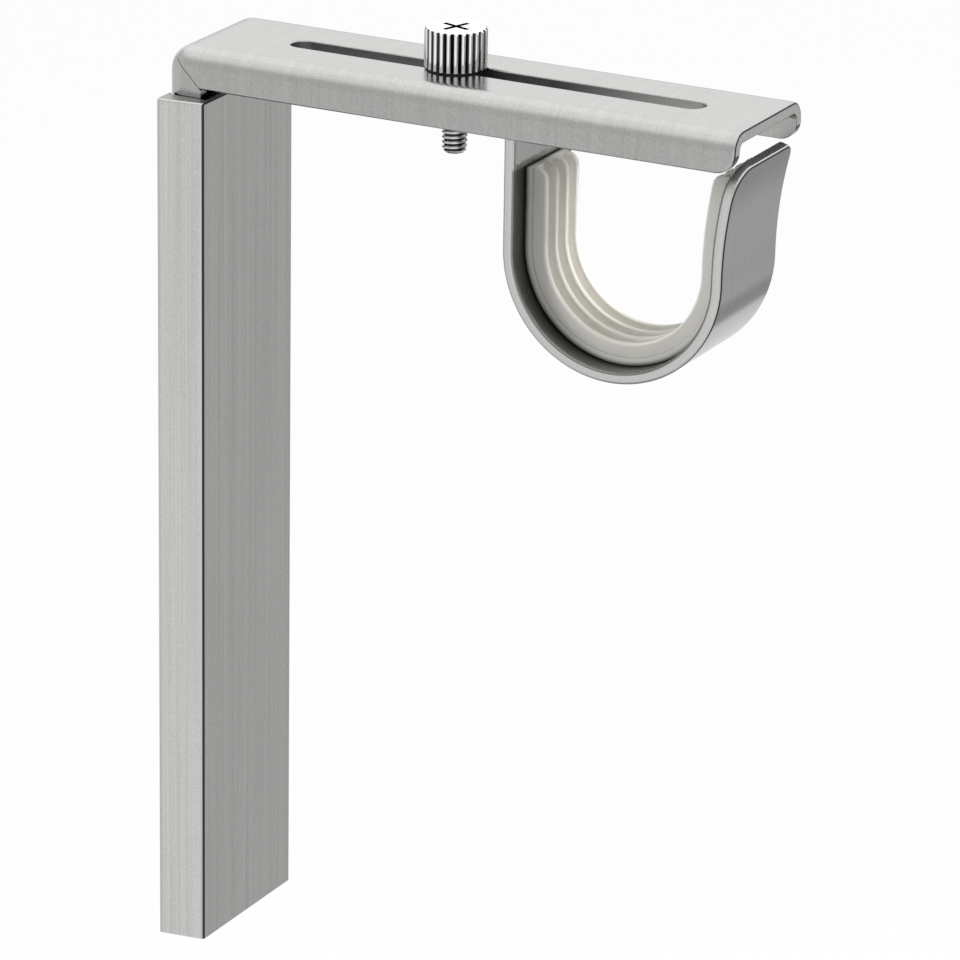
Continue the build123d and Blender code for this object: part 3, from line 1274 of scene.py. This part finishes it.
@dataclass
class PoleHolder(StripPiece):
    """The bent strip that hangs from the arm and cradles the pole."""

    strip: float = 2.0
    width: float = 20.6
    tab_width: float = 18.0
    tab_corner: float = 3.0
    front_corner: float = 5.2
    back_corner: float = 2.2
    shoulder: float = 0.5
    shoulder_run: float = 0.02
    edge_break: float = 0.45
    line_rows: int = 2
    screw_reach: float = 47.6
    hole_radius: float = 2.25
    hole_points: int = 64
    drill_length: float = 10.0
    station_step: float = 0.35
    least_step: float = 0.004
    corner_points: int = 17
    # How far the painted shade round the liner reaches past its ends and sides.
    painted_shade_past_end: float = 0.9
    painted_shade_past_side: float = 9.0

    def finish(self) -> Material:
        """Satin plating, brushed along the strip.

        Returns:
            The material, with painted shade round the liner.
        """
        path = self.path()
        liner = HolderLiner("holder_liner", "holder", "ivory_plastic")
        covered = Footprint(
            start=path.on_leg(liner.fixed_drop) * MM,
            end=path.on_flare(liner.free_end_drop) * MM,
            half=liner.width / 2 * MM,
            depth=self.strip / 2 * MM,
            past_end=self.painted_shade_past_end * MM,
            past_side=self.painted_shade_past_side * MM,
        )
        # The punched free end's darker tone is partly the cut's own colour and partly painted shade, for the
        # arm's shade over it.
        return SteelFinish(
            "satin_holder_plating", Grain.ALONG_STRIP, tone=0.5, roughness=0.12, streaks=0.5, bump=0.15,
            place=Coordinates.FLAT, punched_and_shade_tone=0.26, covered=covered,
        ).material()

    def shape(self, material: Material) -> Mesh:
        """The strip, drawn flat with its corners and broken edges, then bent and drilled.

        Args:
            material: the strip's finish.

        Returns:
            The bent strip.
        """
        sizes = self.metres("hole_radius", "screw_reach", "drill_length")
        tree = self.bending_tree(material, {**sizes, "Hole Height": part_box("pole_holder")[1].z})
        bent = tree.bent_along(tree.given("Geometry"), tree.given("Path"))
        drill = tree.cylinder(self.hole_points, 1, tree.given("Hole Radius"), tree.given("Drill Length"))
        spot = tree.combine(tree.given("Screw Reach"), 0.0, tree.given("Hole Height"))
        placed = tree.node("GeometryNodeTransform", {"Geometry": drill, "Translation": spot})
        tree.close(tree.minus(bent, placed))
        made = tree.mesh(self._flat())
        bpy.data.objects.remove(tree.values["Path"])
        return made

    def _flat(self) -> Mesh:
        """The strip before bending.

        Returns:
            A flat plate with its tab, shoulders and rounded corners.
        """
        path = self.path()
        end = path.on_flare(self.free_drop)
        step = path.bend_end
        ledge = step + self.shoulder_run
        stations = set(np.round(np.arange(0.0, end, self.station_step), 6).tolist())
        for radius, origin, sign in (
            (self.tab_corner, 0.0, 1.0),
            (self.shoulder, ledge, 1.0),
            (self.front_corner, end, -1.0),
            (self.back_corner, end, -1.0),
        ):
            for turn in np.linspace(0.0, math.pi / 2, self.corner_points):
                stations.add(origin + sign * radius * (1 - math.cos(turn)))
        stations |= {step, ledge}
        line = [s for s in sorted(stations) if not step < s < ledge]
        line = [line[0]] + [b for a, b in zip(line, line[1:]) if b - a > self.least_step]
        line[-1] = end
        front = []
        back = []
        for s in line:
            if s <= step:
                half = self.tab_width / 2 - round_end(s, self.tab_corner)
            else:
                half = self.width / 2 - round_end(s - ledge, self.shoulder)
            front.append((s, round_end(end - s, self.front_corner) - half))
            back.append((s, half - round_end(end - s, self.back_corner)))
        edges = (np.array(front), np.array(back))
        return flat_plate(*edges, 0.0, self.strip, self.edge_break, "flat_strip", self.line_rows)


@dataclass
class HolderLiner(StripPiece):
    """The ribbed plastic insert, sizes in millimetres."""

    depth: float = 2.05
    width: float = 12.4
    base: float = 1.3
    base_stations: int = 260
    thickness: float = 3.6
    ribs: int = 4
    rib_width: float = 1.3
    rib_step_in: float = 0.15
    rib_end_in: float = 0.05
    rib_end_round: float = 2.0
    rib_foot: float = 0.4
    rib_stations: int = 220
    rib_end_stations: int = 14
    crest_round: float = 0.4
    crest_steps: int = 6
    fixed_drop: float = 12.9
    free_end_drop: float = 9.8
    edge_round: float = 0.08
    # How far above the strip the painted shade on the liner reaches.
    painted_shade_height: float = 0.8

    def finish(self) -> Material:
        """Ivory plastic.

        Returns:
            The material, with painted shade near the strip and along the base's upper edges.
        """
        return PlasticFinish(
            "ivory_liner_plastic",
            foot=self.depth * MM,
            shade_end=(self.depth + self.painted_shade_height) * MM,
            seam=(self.depth + self.base) * MM,
            side=(self.width / 2 - self.rib_step_in) * MM,
        ).material()

    def shape(self, material: Material) -> Mesh:
        """The base and its ribs, drawn flat, then bent.

        Args:
            material: the liner's finish.

        Returns:
            The bent liner.
        """
        path = self.path()
        start = path.on_leg(self.fixed_drop)
        end = path.on_flare(self.free_end_drop)
        rib = bpy.data.objects.new("flat_liner_rib", loft(self._rib_loops(start, end), "flat_liner_rib"))
        run = self.width - 2 * self.rib_step_in - self.rib_width
        values = {"Rib": rib, "Rib Count": self.ribs, "Rib Step": run / (self.ribs - 1) * MM}
        tree = self.bending_tree(material, values)
        count = tree.given("Rib Count")
        step = tree.given("Rib Step")
        row = {
            "Count": count,
            "Start Location": tree.combine(y=(count - 1.0) * step * -0.5),
            "Offset": tree.combine(y=step),
        }
        spots = tree.node("GeometryNodeMeshLine", row)
        shape = tree.node("GeometryNodeObjectInfo", {"Object": tree.given("Rib")}, "Geometry")
        ribs = tree.node("GeometryNodeInstanceOnPoints", {"Points": spots, "Instance": shape})
        whole = tree.node("GeometryNodeRealizeInstances", {"Geometry": ribs})
        joined = tree.node("GeometryNodeJoinGeometry", {0: [whole, tree.given("Geometry")]})
        tree.close(tree.bent_along(joined, tree.given("Path")))
        made = tree.mesh(self._flat_base(start, end))
        bpy.data.objects.remove(tree.values["Path"])
        bpy.data.objects.remove(rib)
        return made

    def _flat_base(self, start: float, end: float) -> Mesh:
        """The base before bending.

        Args:
            start: length along the path at the fixed end.
            end: length along the path at the free end.

        Returns:
            A flat plate.
        """
        line = np.linspace(start, end, self.base_stations)
        across = np.full(len(line), self.width / 2)
        edges = (np.column_stack([line, -across]), np.column_stack([line, across]))
        return flat_plate(*edges, self.depth, self.depth + self.base, self.edge_round, "flat_liner_base")

    def _rib_loops(self, start: float, end: float) -> list[np.ndarray]:
        """Sections of one rib, which rises from the base at each end along a round.

        Args:
            start: length along the path at the fixed end.
            end: length along the path at the free end.

        Returns:
            Loops of points in metres.
        """
        radius = self.rib_end_round
        first = start + self.rib_end_in
        last = end - self.rib_end_in
        rise = [radius * (1 - math.cos(t)) for t in np.linspace(0.0, math.pi / 2, self.rib_end_stations)]
        places = [first + s for s in rise]
        places += np.linspace(first + radius, last - radius, self.rib_stations)[1:-1].tolist()
        places += [last - s for s in reversed(rise)]
        loops = []
        for s in places:
            crest = self.depth + self.thickness - round_end(min(s - first, last - s), radius)
            loops.append(self._rib_section(s, crest) * MM)
        return loops

    def _rib_section(self, s: float, crest: float) -> np.ndarray:
        """A rib's section, with a flat foot and rounded upper corners.

        Args:
            s: length along the path.
            crest: depth of the rib's crest.

        Returns:
            Points round the section in millimetres.
        """
        half = self.rib_width / 2
        foot = self.depth + self.rib_foot
        radius = self.crest_round
        points = [(s, -half, foot), (s, half, foot)]
        for y, start in ((half - radius, 0.0), (-half + radius, 0.5 * math.pi)):
            for k in range(self.crest_steps + 1):
                turn = start + k * math.pi / (2 * self.crest_steps)
                points.append((s, y + radius * math.cos(turn), crest - radius + radius * math.sin(turn)))
        return np.array(points)


@dataclass(frozen=True)
class Card:
    """A soft bright or dark card in the studio's surroundings, angles in degrees."""

    azimuth: float
    elevation: float
    inner: float
    outer: float
    level: float

    def towards(self) -> tuple[float, float, float]:
        """Where the card stands.

        Returns:
            The direction of its centre.
        """
        az = math.radians(self.azimuth)
        el = math.radians(self.elevation)
        return (math.cos(el) * math.cos(az), math.cos(el) * math.sin(az), math.sin(el))


@dataclass(frozen=True)
class Lamp:
    """A soft box that is aimed at the bracket, in metres and watts."""

    name: str
    place: tuple[float, float, float]
    size: float
    power: float


@dataclass
class Studio:
    """Camera, floor, lamps and surroundings. Lengths are in millimetres where not said otherwise."""

    azimuth: float = 27.513
    elevation: float = 19.577
    roll: float = 0.868
    distance: float = 1007.81
    target: tuple[float, float, float] = (53.206, 0.0, 7.659)
    focal_pixels: float = 6059.9
    image_pixels: float = 960.0
    sensor: float = 36.0
    far_metres: float = 50.0
    floor_half: float = 6000.0
    floor_drop: float = 152.0
    floor_tone: float = 0.86
    floor_white: float = 0.97
    plain_level: float = 0.15
    open_level: float = 0.7
    lamps: tuple[Lamp, ...] = (
        Lamp("key_box", (0.80, 0.35, 0.50), 0.5, 11.0),
        Lamp("top_box", (0.24, -0.20, 0.80), 0.35, 2.6),
        Lamp("side_box", (-0.50, -0.42, 0.30), 0.4, 3.1),
    )
    cards: tuple[Card, ...] = (
        Card(0, 90, 35, 72, 1.25),
        Card(117.5, 19.7, 20, 50, 1.2),
        Card(150, 57, 8, 34, 1.4),
        Card(68, 32, 12, 26, 1.4),
        Card(57, 5, 7, 14, 0.1),
        Card(180, -62, 26, 40, 0.4),
        Card(-165, -15, 30, 46, 0.85),
        Card(-117.5, -19.7, 6, 14, 0.74),
        Card(62, -19.7, 14, 32, 0.56),
        Card(80, -31, 4, 11, 0.38),
        Card(117.5, -19.7, 30.5, 33, 0.82),
        Card(-72, -20, 32, 40, 1.0),
        Card(8, -20, 30, 41, 0.36),
    )

    def build(self) -> None:
        """Makes the whole studio."""
        self._camera()
        self._floor()
        self._lamps()
        self._surroundings()

    def _camera(self) -> None:
        """The photograph's viewpoint."""
        az, el, ro = (math.radians(v) for v in (self.azimuth, self.elevation, self.roll))
        forward = Vector((-math.sin(az) * math.cos(el), math.cos(az) * math.cos(el), -math.sin(el)))
        level = Vector((math.cos(az), math.sin(az), 0.0))
        upright = level.cross(forward)
        right = math.cos(ro) * level + math.sin(ro) * upright
        up = math.cos(ro) * upright - math.sin(ro) * level
        place = Vector(self.target) * MM - forward * self.distance * MM
        data = bpy.data.cameras.new("viewpoint")
        data.sensor_width = self.sensor
        data.lens = self.focal_pixels * self.sensor / self.image_pixels
        data.clip_end = self.far_metres
        camera = add_object("viewpoint", data)
        turned = Matrix((right, up, -forward)).transposed().to_4x4()
        camera.matrix_world = Matrix.Translation(place) @ turned
        bpy.context.scene.camera = camera

    def _floor(self) -> None:
        """A white floor that keeps a soft shadow, low enough for the cover to slide off the plate."""
        half = self.floor_half * MM
        low = CAD_BOX[0].z - self.floor_drop * MM
        mesh = bpy.data.meshes.new("floor")
        corners = [(-half, -half, low), (half, -half, low), (half, half, low), (-half, half, low)]
        mesh.from_pydata(corners, [], [(0, 1, 2, 3)])
        floor = add_object("floor", mesh)
        graph = MaterialGraph("floor_paper")
        camera, mirrored = self._rays(graph)
        seen = camera.at_least(mirrored)
        paper = graph.node("ShaderNodeBsdfDiffuse", {"Color": (*(self.floor_tone,) * 3, 1.0)})
        white = graph.node("ShaderNodeEmission", {"Color": WHITE, "Strength": 1.0})
        mixed = graph.node("ShaderNodeMixShader", {0: seen * self.floor_white, 1: paper, 2: white})
        mesh.materials.append(graph.close(mixed))
        floor.visible_glossy = False

    @staticmethod
    def _rays(graph: Graph) -> tuple[Wire, Wire]:
        """1 for a ray from the camera, and 1 for a ray in metal or through glass."""
        camera = graph.node("ShaderNodeLightPath", out="Is Camera Ray")
        return camera, camera.other("Is Glossy Ray").at_least(camera.other("Is Transmission Ray"))

    def _lamps(self) -> None:
        """Soft boxes that shape the plastic and the floor's shadow."""
        for lamp in self.lamps:
            data = bpy.data.lights.new(lamp.name, "AREA")
            data.size = lamp.size
            data.energy = lamp.power
            box = add_object(lamp.name, data)
            box.location = lamp.place
            aim = Vector(self.target) * MM - Vector(lamp.place)
            box.rotation_euler = aim.to_track_quat("-Z", "Y").to_euler()
            box.visible_glossy = False

    def _surroundings(self) -> None:
        """A world that is white to the camera and shows cards to metal."""
        world = bpy.data.worlds.new("studio")
        world.use_nodes = True
        bpy.context.scene.world = world
        graph = Graph(world.node_tree)
        towards = graph.node("ShaderNodeTexCoord", out="Generated")
        level: Value = self.open_level
        for card in self.cards:
            cosine = graph.vector("DOT_PRODUCT", towards, card.towards(), out="Value")
            mask = cosine.step(math.cos(math.radians(card.outer)), math.cos(math.radians(card.inner)))
            level = mask * (card.level - level) + level
        camera, mirrored = self._rays(graph)
        strength = camera + (1.0 - camera) * (mirrored * level + (1.0 - mirrored) * self.plain_level)
        light = graph.node("ShaderNodeBackground", {"Color": WHITE, "Strength": strength})
        graph.node("ShaderNodeOutputWorld", {"Surface": light})
        bpy.context.scene.view_settings.view_transform = "Standard"


def main() -> None:
    """Builds the studio and every piece."""
    logging.basicConfig(level=logging.INFO, format="%(name)s: %(message)s")
    Studio().build()
    pieces: tuple[Piece, ...] = (
        AngleBracket("angle_bracket", "bracket", "satin_steel"),
        WallCover("wall_cover", "cover", "brushed_cover"),
        ThumbScrew("thumb_screw", "screw", "bright_screw"),
        PoleHolder("pole_holder", "holder", "holder_steel"),
        HolderLiner("holder_liner", "holder", "ivory_plastic"),
    )
    for piece in pieces:
        made = piece.make()
        LOG.info("%s: %d faces on body %s", made.name, len(made.data.polygons), piece.body)


if __name__ == "__main__":
    main()
